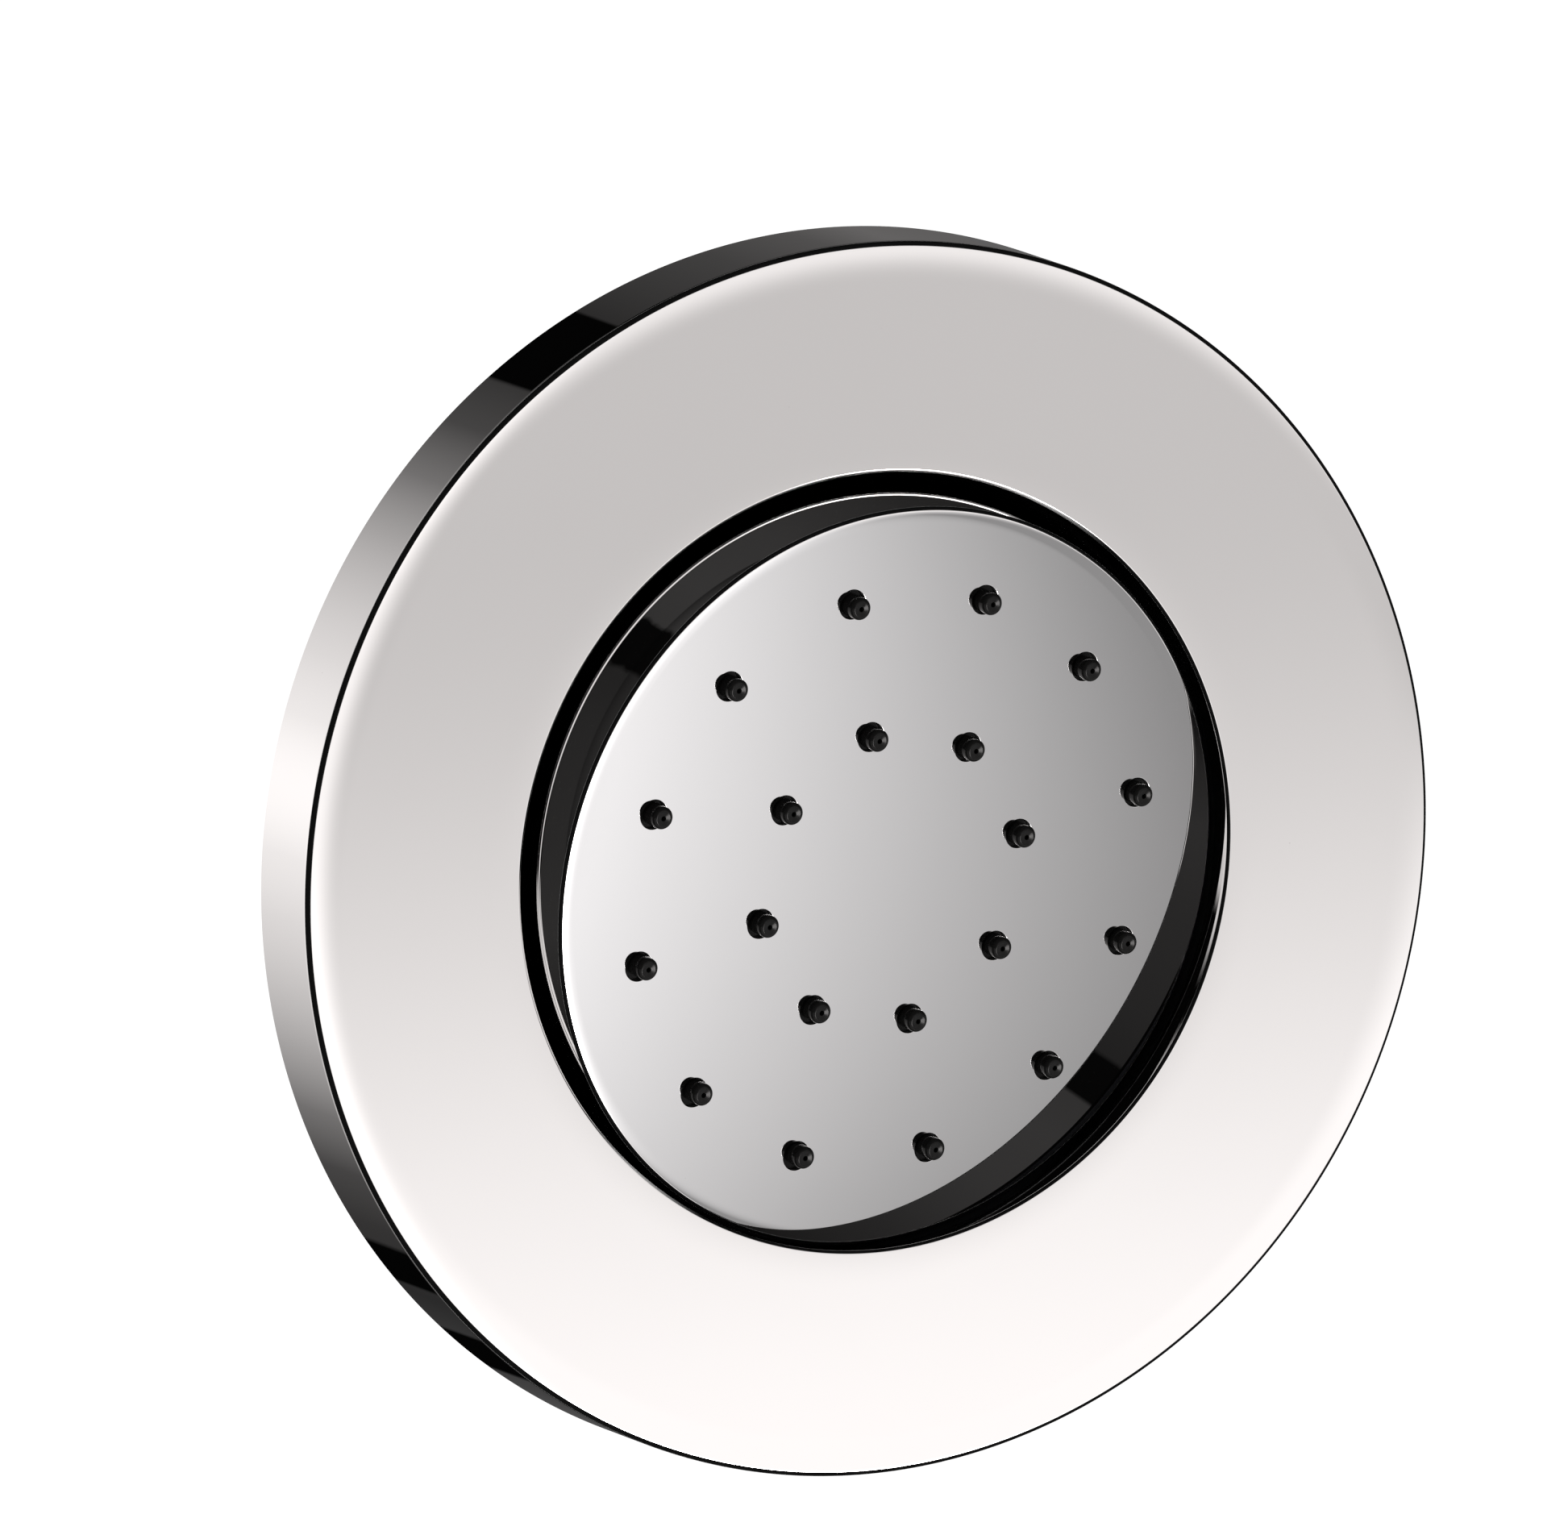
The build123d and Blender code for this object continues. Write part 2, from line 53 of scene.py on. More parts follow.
FLANGE_AXES = (Vector((0, 0, 0)), ROOM, Vector((1, 0, 0)), Vector((0, 0, 1)))
HEAD_AXES = (PIVOT, HEAD_N, HEAD_X, HEAD_Z)
STUD_AXES = (PIVOT, ROOM, Vector((1, 0, 0)), Vector((0, 0, 1)))


# ---------------------------------------------------------------------------
# Section pieces: each is a list of (r, h, nr, nh)
# ---------------------------------------------------------------------------
def line(a, b, n, steps=1):
    return [(a[0] + (b[0] - a[0]) * k / steps, a[1] + (b[1] - a[1]) * k / steps, n[0], n[1]) for k in range(steps + 1)]


def arc(c, r, a0, a1, steps, out=1):
    """Arc about c from angle a0 to a1 (degrees in the r, h plane); out=-1 for a hollow."""
    pts = []
    for k in range(steps + 1):
        a = math.radians(a0 + (a1 - a0) * k / steps)
        pts.append((c[0] + r * math.cos(a), c[1] + r * math.sin(a), out * math.cos(a), out * math.sin(a)))
    return pts


def sloped(r0, r1, h0, slope, steps):
    """Nearly flat front: slope(r) is the tilt of the surface in radians, positive falling outward."""
    pts, h = [], h0
    for k in range(steps + 1):
        r = r0 + (r1 - r0) * k / steps
        if k:
            mid = r - (r1 - r0) / steps / 2
            h -= math.tan(slope(mid)) * (r1 - r0) / steps
        pts.append((r, h, math.sin(slope(r)), math.cos(slope(r))))
    return pts


def new_object(name, bm, normals=None):
    me = bpy.data.meshes.new(name)
    bm.to_mesh(me)
    bm.free()
    for p in me.polygons:
        p.use_smooth = True
    if normals is not None:
        me.normals_split_custom_set(normals)
    ob = bpy.data.objects.new(name, me)
    bpy.context.scene.collection.objects.link(ob)
    return ob


class Turned:
    """Gathers surfaces of revolution, welds them and keeps the exact normal of every corner."""

    def __init__(self, axes):
        self.o, self.ax, self.ex, self.ez = axes
        self.bm = bmesh.new()
        self.tag = self.bm.faces.layers.int.new("tag")
        self.normal_of = {}
        self.rings = {}

    def at(self, r, h, a, c=(0.0, 0.0)):
        return (self.o + self.ax * h + self.ex * (c[0] + r * math.cos(a)) + self.ez * (c[1] + r * math.sin(a))) * MM

    def direction(self, nr, nh, a):
        return (self.ax * nh + self.ex * (nr * math.cos(a)) + self.ez * (nr * math.sin(a))).normalized()

    def ring(self, r, h, seg, c=(0.0, 0.0), phase=0.0):
        key = (round(r, 5), round(h, 5), seg, round(c[0], 4), round(c[1], 4))
        if key not in self.rings:
            if r < 1e-6:
                self.rings[key] = [self.bm.verts.new(self.at(0, h, 0, c))] * seg
            else:
                self.rings[key] = [
                    self.bm.verts.new(self.at(r, h, phase + 2 * math.pi * k / seg, c)) for k in range(seg)
                ]
        return self.rings[key]

    def face(self, verts, normals):
        seen, vs, ns = set(), [], []
        for v, n in zip(verts, normals):
            if v not in seen:
                seen.add(v)
                vs.append(v)
                ns.append(n)
        if len(vs) < 3:
            return
        f = self.bm.faces.new(vs)
        f.normal_update()
        mean = sum(ns, Vector())
        if f.normal.dot(mean) < 0:
            f.normal_flip()
        f[self.tag] = len(self.normal_of) + 1
        self.normal_of[len(self.normal_of) + 1] = {v: n for v, n in zip(vs, ns)}

    def sweep(self, piece, seg=SEG, c=(0.0, 0.0), phase=0.0):
        """Turns one section piece about the axis through c."""
        rings = [self.ring(p[0], p[1], seg, c, phase) for p in piece]
        for i in range(len(piece) - 1):
            a, b = piece[i], piece[i + 1]
            for k in range(seg):
                k2 = (k + 1) % seg
                t0, t1 = phase + 2 * math.pi * k / seg, phase + 2 * math.pi * (k + 1) / seg
                self.face(
                    [rings[i][k], rings[i][k2], rings[i + 1][k2], rings[i + 1][k]],
                    [
                        self.direction(a[2], a[3], t0),
                        self.direction(a[2], a[3], t1),
                        self.direction(b[2], b[3], t1),
                        self.direction(b[2], b[3], t0),
                    ],
                )

    def bridge(self, ring_a, ring_b, normal):
        """Flat band between two rings of the same count."""
        for k in range(len(ring_a)):
            k2 = (k + 1) % len(ring_a)
            self.face([ring_a[k], ring_a[k2], ring_b[k2], ring_b[k]], [normal] * 4)

    def plate(self, outer, inners, normal):
        """Flat sheet between an outer ring and round holes."""
        edges = []
        for ring in [outer, *inners]:
            for k in range(len(ring)):
                pair = (ring[k], ring[(k + 1) % len(ring)])
                edges.append(self.bm.edges.get(pair) or self.bm.edges.new(pair))
        made = bmesh.ops.triangle_fill(self.bm, use_beauty=True, use_dissolve=False, edges=edges)
        for f in [g for g in made["geom"] if isinstance(g, bmesh.types.BMFace)]:
            f.normal_update()
            if f.normal.dot(normal) < 0:
                f.normal_flip()
            f[self.tag] = len(self.normal_of) + 1
            self.normal_of[len(self.normal_of) + 1] = {v: normal for v in f.verts}

    def build(self, name):
        self.bm.faces.ensure_lookup_table()
        normals = []
        for f in self.bm.faces:
            known = self.normal_of[f[self.tag]]
            for lp in f.loops:
                normals.append(tuple(known[lp.vert]))
        return new_object(name, self.bm, normals)


# ---------------------------------------------------------------------------
# Node helpers
# ---------------------------------------------------------------------------
class Nodes:
    def __init__(self, tree):
        self.tree = tree
        tree.nodes.clear()

    def new(self, kind, **props):
        n = self.tree.nodes.new(kind)
        for k, v in props.items():
            setattr(n, k, v)
        return n

    def link(self, a, b):
        self.tree.links.new(a, b)

    def put(self, socket, value):
        if isinstance(value, (int, float)):
            socket.default_value = value
        else:
            self.link(value, socket)

    def math(self, op, a, b=None, c=None, clamp=False):
        n = self.new("ShaderNodeMath", operation=op, use_clamp=clamp)
        self.put(n.inputs[0], a)
        if b is not None:
            self.put(n.inputs[1], b)
        if c is not None:
            self.put(n.inputs[2], c)
        return n.outputs[0]

    def smooth(self, x, lo, hi, a=0.0, b=1.0):
        """Smooth step of x between lo and hi, from a to b."""
        n = self.new("ShaderNodeMapRange", interpolation_type="SMOOTHSTEP")
        if lo > hi:
            lo, hi, a, b = hi, lo, b, a
        self.put(n.inputs["Value"], x)
        n.inputs["From Min"].default_value = lo
        n.inputs["From Max"].default_value = hi
        n.inputs["To Min"].default_value = a
        n.inputs["To Max"].default_value = b
        return n.outputs["Result"]

    def ramp(self, x, stops, interpolation="LINEAR"):
        n = self.new("ShaderNodeValToRGB")
        n.color_ramp.interpolation = interpolation
        el = n.color_ramp.elements
        while len(el) < len(stops):
            el.new(0.5)
        for e, (pos, col) in zip(el, stops):
            e.position = pos
            e.color = (col, col, col, 1) if isinstance(col, (int, float)) else (*col, 1)
        self.link(x, n.inputs[0])
        return n.outputs[0]

    def mix(self, f, a, b):
        """Mix of two numbers."""
        n = self.new("ShaderNodeMix", data_type="FLOAT")
        self.put(n.inputs[0], f)
        self.put(n.inputs[2], a)
        self.put(n.inputs[3], b)
        return n.outputs[0]

    def mix_color(self, f, a, b, blend="MIX"):
        n = self.new("ShaderNodeMix", data_type="RGBA", blend_type=blend)
        self.put(n.inputs[0], f)
        for sock, v in ((n.inputs[6], a), (n.inputs[7], b)):
            if isinstance(v, tuple):
                sock.default_value = (*v, 1)
            else:
                self.link(v, sock)
        return n.outputs[2]

    def noise(self, vec, scale, detail=2.0, rough=0.5, distortion=0.0):
        n = self.new("ShaderNodeTexNoise")
        n.inputs["Scale"].default_value = scale
        n.inputs["Detail"].default_value = detail
        n.inputs["Roughness"].default_value = rough
        n.inputs["Distortion"].default_value = distortion
        if vec is not None:
            self.link(vec, n.inputs["Vector"])
        return n.outputs["Fac"]

    def bump(self, height, strength, distance, normal=None):
        n = self.new("ShaderNodeBump")
        n.inputs["Strength"].default_value = strength
        n.inputs["Distance"].default_value = distance
        self.link(height, n.inputs["Height"])
        if normal is not None:
            self.link(normal, n.inputs["Normal"])
        return n.outputs["Normal"]


def material(name, **sockets):
    m = bpy.data.materials.new(name)
    m.use_nodes = True
    g = Nodes(m.node_tree)
    out = g.new("ShaderNodeOutputMaterial")
    bsdf = g.new("ShaderNodeBsdfPrincipled")
    g.link(bsdf.outputs[0], out.inputs["Surface"])
    for k, v in sockets.items():
        s = bsdf.inputs[k.replace("_", " ")]
        s.default_value = (*v, 1) if isinstance(v, tuple) and len(v) == 3 else v
    coords = g.new("ShaderNodeTexCoord").outputs["Object"]
    return m, g, bsdf, coords


def speckle(g, coords, scale, size):
    """Sparse round specks: 1 in a speck, 0 elsewhere."""
    v = g.new("ShaderNodeTexVoronoi", feature="F1")
    v.inputs["Scale"].default_value = scale
    v.inputs["Randomness"].default_value = 1.0
    g.link(coords, v.inputs["Vector"])
    w = g.new("ShaderNodeTexWhiteNoise", noise_dimensions="3D")
    g.link(v.outputs["Position"], w.inputs["Vector"])
    few = g.smooth(w.outputs["Value"], 0.90, 0.91)
    near = g.smooth(v.outputs["Distance"], size, size * 0.5)
    return g.math("MULTIPLY", few, near)


# ---------------------------------------------------------------------------
# Materials
# ---------------------------------------------------------------------------
def painted_dark_edge_line(g, co, axes, r_from, h_from, inner=None):
    """Mask of a painted dark line, a painted dark reflection: 1 on a rounded edge that lies outside r_from and in front
    of h_from (mm), 0 elsewhere.

    inner=(r_to, h_from, angle) adds the painted dark line on the edge of an opening, only on the side that lies at that
    angle.
    """
    def dot(vec, d):
        n = g.new("ShaderNodeVectorMath", operation="DOT_PRODUCT")
        g.link(vec, n.inputs[0])
        n.inputs[1].default_value = tuple(d)
        return n.outputs["Value"]

    rel = g.new("ShaderNodeVectorMath", operation="SUBTRACT")
    g.link(co, rel.inputs[0])
    rel.inputs[1].default_value = tuple(axes[0] * MM)
    h, x, z = (dot(rel.outputs[0], d) for d in axes[1:])
    r = g.math("SQRT", g.math("ADD", g.math("MULTIPLY", x, x), g.math("MULTIPLY", z, z)))
    soft = 0.015 * MM
    painted_line_out = g.smooth(r, r_from * MM - soft, r_from * MM + soft)
    painted_line_out = g.math("MULTIPLY", painted_line_out, g.smooth(h, h_from * MM - soft, h_from * MM + soft))
    if inner is None:
        return painted_line_out
    r_to, h_in, ang = inner
    painted_line_in = g.smooth(r, r_to * MM + soft, r_to * MM - soft)
    painted_line_in = g.math("MULTIPLY", painted_line_in, g.smooth(h, h_in * MM - soft, h_in * MM + soft))
    # the painted dark line on the opening is kept only on the side that faces ang: a one-sided painted dark reflection
    toward = g.math("ADD", g.math("MULTIPLY", x, math.cos(ang)), g.math("MULTIPLY", z, math.sin(ang)))
    painted_line_in = g.math("MULTIPLY", painted_line_in, g.smooth(g.math("DIVIDE", toward, r), -0.35, 0.1))
    return g.math("MAXIMUM", painted_line_out, painted_line_in)


def chrome(name, tint, rough, wave, edge=None):
    m, g, b, co = material(name, Metallic=1.0, Specular_IOR_Level=0.0)
    cloud = g.noise(co, 55.0, 3.0, 0.55)
    dust = g.math("MULTIPLY", speckle(g, co, 420.0, 0.035), 0.35)
    shade = g.mix_color(cloud, tuple(0.985 * t for t in tint), tint)
    shade = g.mix_color(dust, shade, (0.42, 0.41, 0.40))
    if edge is not None:
        # painted dark reflection: the masked rounded edges are painted near-black and made non-metal, a painted shade
        # line
        dark = painted_dark_edge_line(g, co, *edge)
        shade = g.mix_color(dark, shade, (0.004, 0.004, 0.004))
        g.link(g.math("SUBTRACT", 1.0, dark), b.inputs["Metallic"])
    g.link(shade, b.inputs["Base Color"])
    fine = g.noise(co, 900.0, 2.0, 0.6)
    r = g.mix(g.smooth(fine, 0.35, 0.75), rough, rough * 1.9)
    g.link(g.mix(dust, r, 0.3), b.inputs["Roughness"])
    g.link(g.bump(cloud, 0.6, wave), b.inputs["Normal"])
    return m


def rubber(name, col, rough, grain, depth, shine=0.5):
    m, g, b, co = material(name, Metallic=0.0, Specular_IOR_Level=shine)
    n = g.noise(co, grain, 4.0, 0.6)
    g.link(g.mix_color(n, tuple(0.7 * c for c in col), tuple(1.4 * c for c in col)), b.inputs["Base Color"])
    g.link(g.mix(n, rough * 0.8, min(1.0, rough * 1.25)), b.inputs["Roughness"])
    g.link(g.bump(n, 0.5, depth), b.inputs["Normal"])
    return m


def plastic(name, col, rough, grain=2600.0, depth=0.00002):
    m, g, b, co = material(name, Metallic=0.0, Specular_IOR_Level=0.5)
    fine = g.noise(co, grain, 3.0, 0.55)
    flow = g.noise(co, 40.0, 2.0, 0.5)
    g.link(g.mix_color(flow, tuple(0.88 * c for c in col), tuple(1.1 * c for c in col)), b.inputs["Base Color"])
    g.link(g.mix(flow, rough * 0.88, rough * 1.12), b.inputs["Roughness"])
    g.link(g.bump(fine, 0.6, depth), b.inputs["Normal"])
    return m


def turned_metal(name, col, dark, rough):
    """Lathe-turned metal: fine rings about the Y axis, a little tarnish."""
    m, g, b, co = material(name, Metallic=1.0)
    stretch = g.new("ShaderNodeMapping")
    stretch.inputs["Scale"].default_value = (25.0, 5200.0, 25.0)
    g.link(co, stretch.inputs["Vector"])
    rings = g.noise(stretch.outputs[0], 1.0, 2.0, 0.6)
    tarnish = g.noise(co, 120.0, 4.0, 0.6)
    g.link(g.mix_color(g.smooth(tarnish, 0.42, 0.72), col, dark), b.inputs["Base Color"])
    g.link(g.mix(g.smooth(tarnish, 0.35, 0.75), rough, rough * 1.8), b.inputs["Roughness"])
    g.link(g.bump(rings, 0.35, 0.00002), b.inputs["Normal"])
    return m


def brushed(name, col, rough):
    m, g, b, co = material(name, Metallic=1.0)
    n = g.noise(co, 1400.0, 3.0, 0.6)
    g.link(g.mix_color(n, tuple(0.85 * c for c in col), col), b.inputs["Base Color"])
    g.link(g.mix(n, rough * 0.8, rough * 1.3), b.inputs["Roughness"])
    g.link(g.bump(n, 0.4, 0.00001), b.inputs["Normal"])
    return m


def foam(name, col):
    m, g, b, co = material(name, Metallic=0.0, Specular_IOR_Level=0.3)
    v = g.new("ShaderNodeTexVoronoi", feature="F1")
    v.inputs["Scale"].default_value = 1500.0
    g.link(co, v.inputs["Vector"])
    d = v.outputs["Distance"]
    g.link(g.mix_color(g.smooth(d, 0.1, 0.6), tuple(0.5 * c for c in col), tuple(1.2 * c for c in col)), b.inputs["Base Color"])
    g.link(g.mix(g.smooth(d, 0.1, 0.6), 0.95, 0.8), b.inputs["Roughness"])
    g.link(g.bump(d, 0.9, 0.0002), b.inputs["Normal"])
    return m


# the last argument places a painted dark line (painted dark reflection) on the flange's outer rounded edge and on the
# -35° side of its opening edge; for the face, on its rounded edge
CHROME = chrome("chrome_plate", (0.90, 0.895, 0.893), 0.012, 0.0000012, (FLANGE_AXES, 59.178, 9.63, (37.85, 9.69, math.radians(-35))))
CHROME_FACE = chrome("chrome_face", (0.90, 0.897, 0.896), 0.012, 0.0000010, (HEAD_AXES, 36.1, 15.22))
STUD_CHROME = chrome("chrome_stud", (0.82, 0.82, 0.82), 0.06, 0.000004)
SILICONE = rubber("silicone_black", (0.0045, 0.0044, 0.0043), 0.14, 700.0, 0.000002, 0.12)
RUBBER = rubber("rubber_black", (0.022, 0.022, 0.022), 0.45, 1500.0, 0.00004)
FOAM = foam("foam_grey", (0.085, 0.085, 0.088))
BOX_BLACK = plastic("plastic_black", (0.022, 0.022, 0.024), 0.42)
WHITE = plastic("plastic_white", (0.78, 0.78, 0.76), 0.38)
GREY = plastic("plastic_grey", (0.20, 0.20, 0.21), 0.45)
GREEN = plastic("plastic_green", (0.09, 0.34, 0.16), 0.32)
PTFE = plastic("ptfe_white", (0.86, 0.86, 0.84), 0.30)
BRASS = turned_metal("brass_turned", (0.74, 0.55, 0.27), (0.50, 0.34, 0.14), 0.16)
STEEL = brushed("steel_plain", (0.63, 0.63, 0.64), 0.22)

LOOK = {
    "flange_cover": CHROME, "spray_shell": CHROME_FACE, "nozzle_mat": SILICONE, "wall_gasket": FOAM,
    "cover_o_ring": RUBBER, "fixing_plate": BOX_BLACK, "wall_box": BOX_BLACK, "box_screws": STEEL,
    "inlet_body": BRASS, "box_washer": RUBBER, "lock_nut": BRASS, "inlet_filter": STEEL,
    "flow_regulator": GREEN, "gland_nut": BRASS, "slip_washer": PTFE, "ball_stud": STUD_CHROME,
    "stud_o_rings": RUBBER, "distributor_plate": WHITE, "chamber_back": GREY, "chamber_o_ring": RUBBER,
    "shell_ring": BRASS, "front_seat": PTFE, "seat_o_ring": RUBBER, "rear_seat": PTFE, "ball_nut": BRASS,
}
for name, ob in nodes.items():
    ob.data.materials.clear()
    ob.data.materials.append(LOOK[name])

# ---------------------------------------------------------------------------
# Flange: turned, front polished with a slight roll-off toward both edges
# ---------------------------------------------------------------------------
F_R, FRONT_R, F_H, F_EDGE = 60.0, 59.66, 10.0, 0.56
O_R, O_EDGE = 37.6, 0.32
OUT_FROM, OUT_TILT = 55.6, math.radians(2.0)
IN_TO, IN_TILT = 41.4, math.radians(0.4)
COL_IN, COL_OUT, COL_END = 38.3, 39.5, 5.6


def flange_slope(r):
    if r < IN_TO:
        return -IN_TILT * ((IN_TO - r) / (IN_TO - O_R - O_EDGE)) ** 1.6
    return 0.0 if r < OUT_FROM else OUT_TILT * ((r - OUT_FROM) / (FRONT_R - F_EDGE - OUT_FROM)) ** 1.6


r_out = FRONT_R - F_EDGE + F_EDGE * math.sin(OUT_TILT)
r_in = O_R + O_EDGE - O_EDGE * math.sin(IN_TILT)
flat_mid = [(r, F_H, 0.0, 1.0) for r in (IN_TO, 46.0, 51.0, OUT_FROM)]
roll_in = sloped(IN_TO, r_in, F_H, flange_slope, 18)
roll_in.reverse()
h_in = roll_in[0][1] - O_EDGE * math.cos(IN_TILT)
roll_out = sloped(OUT_FROM, r_out, F_H, flange_slope, 28)
h_out = roll_out[-1][1] - F_EDGE * math.cos(OUT_TILT)
taper = math.atan2(F_R - FRONT_R, h_out - 0.25)
edge_out = arc((FRONT_R - F_EDGE, h_out), F_EDGE, 90 - math.degrees(OUT_TILT), math.degrees(taper), 20)
edge_out[0] = roll_out[-1]
lean = math.atan2(COL_IN - O_R, h_in - COL_END - 0.2)
edge_in = arc((O_R + O_EDGE, h_in), O_EDGE, 180 + math.degrees(lean), 90 + math.degrees(IN_TILT), 16)
edge_in[-1] = roll_in[0]
back = F_H - 1.5

flange = Turned(FLANGE_AXES)
flange.sweep(line((COL_IN, COL_END + 0.2), edge_in[0][:2], (-math.cos(lean), -math.sin(lean)), 6))
flange.sweep(edge_in)
flange.sweep(roll_in)
flange.sweep(flat_mid)
flange.sweep(roll_out)
flange.sweep(edge_out)
flange.sweep(line(edge_out[-1][:2], (F_R, 0.25), (math.cos(taper), math.sin(taper)), 6))
for a, b, n in (
    ((F_R, 0.25), (F_R - 0.25, 0), (0.7071, -0.7071)),
    ((F_R - 0.25, 0), (58.5, 0), (0, -1)),
    ((58.5, 0), (58.5, back), (-1, 0)),
    ((58.5, back), (46.4, back), (0, -1)),
    ((46.4, back), (46.4, 3.3), (1, 0)),
    ((46.4, 3.3), (46.1, 3.0), (0.7071, -0.7071)),
    ((46.1, 3.0), (45.1, 3.0), (0, -1)),
    ((45.1, 3.0), (44.7, 3.4), (-0.7071, -0.7071)),
    ((44.7, 3.4), (44.7, back), (-1, 0)),
    ((44.7, back), (COL_OUT, back), (0, -1)),
    ((COL_OUT, back), (COL_OUT, COL_END + 0.2), (1, 0)),
    ((COL_OUT, COL_END + 0.2), (COL_OUT - 0.2, COL_END), (0.7071, -0.7071)),
    ((COL_OUT - 0.2, COL_END), (COL_IN + 0.2, COL_END), (0, -1)),
    ((COL_IN + 0.2, COL_END), (COL_IN, COL_END + 0.2), (-0.7071, -0.7071)),
):
    flange.sweep(line(a, b, n))
flange_ob = flange.build("flange_polished")
flange_ob.data.materials.append(CHROME)
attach(flange_ob, "wall_set")
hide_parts("flange_cover")

# ---------------------------------------------------------------------------
# Head shell: flat face with its round holes, ball-shaped side, open behind
# ---------------------------------------------------------------------------
FACE_R, FACE_H = 36.3, 15.5
BALL_R = math.hypot(FACE_R, FACE_H)
MAT_TOP = FACE_H - 1.5
BORE = 34.8
E_R = 0.45
HOLE_R, LIP = 1.43, 0.07
HSEG = 40
ROLL, ROLL_TILT = 1.2, math.radians(1.8)

c_h = FACE_H - E_R
c_r = math.sqrt((BALL_R - E_R) ** 2 - c_h ** 2)
a_ball = math.degrees(math.atan2(c_h, c_r))
back_h = -7.0
a_back = math.degrees(math.asin(back_h / BALL_R))
back_r = BALL_R * math.cos(math.radians(a_back))


def face_slope(r):
    return 0.0 if r < c_r - ROLL else ROLL_TILT * ((r - c_r + ROLL) / ROLL) ** 2


angles = [(28.14, 12.04 + 90 * k + a) for k in range(4) for a in (0, 45 - 14.45, 45 + 14.45)]
angles += [(14.59, 12.04 + 45 * k) for k in range(8)]
centres = [(R * math.cos(math.radians(a)), R * math.sin(math.radians(a))) for R, a in angles]
shell = Turned(HEAD_AXES)
face_roll = sloped(c_r - ROLL, c_r + E_R * math.sin(ROLL_TILT), FACE_H, face_slope, 16)
drop = FACE_H - face_roll[-1][1]
edge = arc((c_r, c_h), E_R, 90 - math.degrees(ROLL_TILT), a_ball, 14)
edge[0] = face_roll[-1]
shell.sweep(face_roll)
shell.sweep(edge)
shell.sweep([edge[-1]] + arc((0, 0), BALL_R, a_ball, a_back, 72)[1:])
for a, b, n in (
    ((back_r, back_h), (BORE + 0.6, back_h), (0, -1)),
    ((BORE + 0.6, back_h), (BORE, back_h + 0.6), (-0.7071, -0.7071)),
    ((BORE, back_h + 0.6), (BORE, MAT_TOP), (-1, 0)),
):
    shell.sweep(line(a, b, n))
top_rings, under_rings = [], []
for c in centres:
    lip = arc((HOLE_R + LIP, FACE_H - LIP), LIP, 90, 180, 6)
    shell.sweep(lip, HSEG, c)
    shell.sweep(line((HOLE_R, FACE_H - LIP), (HOLE_R, MAT_TOP), (-1, 0), 2), HSEG, c)
    top_rings.append(shell.ring(HOLE_R + LIP, FACE_H, HSEG, c))
    under_rings.append(shell.ring(HOLE_R, MAT_TOP, HSEG, c))
shell.plate(shell.ring(c_r - ROLL, FACE_H, SEG), top_rings, HEAD_N.copy())
shell.plate(shell.ring(BORE, MAT_TOP, SEG), under_rings, -HEAD_N)
shell_ob = shell.build("head_shell_polished")
shell_ob.data.materials.append(CHROME_FACE)
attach(shell_ob, "head")
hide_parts("spray_shell")

# ---------------------------------------------------------------------------
# Nozzle mat: disc, plugs in the face's holes, nozzles with a dished tip
# ---------------------------------------------------------------------------
MAT_R, MAT_BACK = 34.6, MAT_TOP - 1.3
PLUG_R, PLUG_H = HOLE_R - 0.03, MAT_TOP + 0.95
NUB_R, NUB_E, TIP = 1.1, 0.38, FACE_H + 1.5
JET_R, JET_E, DUCT_R, DUCT_H = 0.24, 0.04, 0.7, MAT_TOP + 1.0
SHRINK = 0.9945
DISH = 7.0

mat = Turned(HEAD_AXES)
tip_edge = arc((NUB_R - NUB_E, TIP - NUB_E), NUB_E, 0, 90 + DISH, 12)
dish_n = (-math.sin(math.radians(DISH)), math.cos(math.radians(DISH)))
r0, h0 = tip_edge[-1][:2]
r1 = JET_R + JET_E * (1 - math.sin(math.radians(DISH)))
h1 = h0 - (r0 - r1) * math.tan(math.radians(DISH))
jet_h = h1 - JET_E * math.cos(math.radians(DISH))
jet_edge = arc((JET_R + JET_E, jet_h), JET_E, 90 + DISH, 180, 5)
jet_edge[0] = (r1, h1, *dish_n)
mat.sweep(line((MAT_R, MAT_BACK), (MAT_R, MAT_TOP), (1, 0)))
plug_rings, duct_rings = [], []
for c in centres:
    # the soft mat has shrunk a little, so each nozzle sits inward of its hole
    n = (c[0] * SHRINK + 0.1, c[1] * SHRINK)
    mat.sweep(line((PLUG_R, MAT_TOP), (PLUG_R, PLUG_H), (1, 0)), HSEG, c)
    mat.bridge(mat.ring(PLUG_R, PLUG_H, HSEG, c), mat.ring(NUB_R, PLUG_H, HSEG, n), HEAD_N.copy())
    for piece in (
        line((NUB_R, PLUG_H), (NUB_R, TIP - NUB_E), (1, 0), 3),
        tip_edge,
        line((r0, h0), (r1, h1), dish_n, 3),
        jet_edge,
        line((JET_R, jet_h), (JET_R, DUCT_H), (-1, 0), 2),
        line((JET_R, DUCT_H), (DUCT_R, DUCT_H), (0, -1)),
        line((DUCT_R, DUCT_H), (DUCT_R, MAT_BACK), (-1, 0)),
    ):
        mat.sweep(piece, HSEG, n)
    plug_rings.append(mat.ring(PLUG_R, MAT_TOP, HSEG, c))
    duct_rings.append(mat.ring(DUCT_R, MAT_BACK, HSEG, n))
mat.plate(mat.ring(MAT_R, MAT_TOP, SEG), plug_rings, HEAD_N.copy())
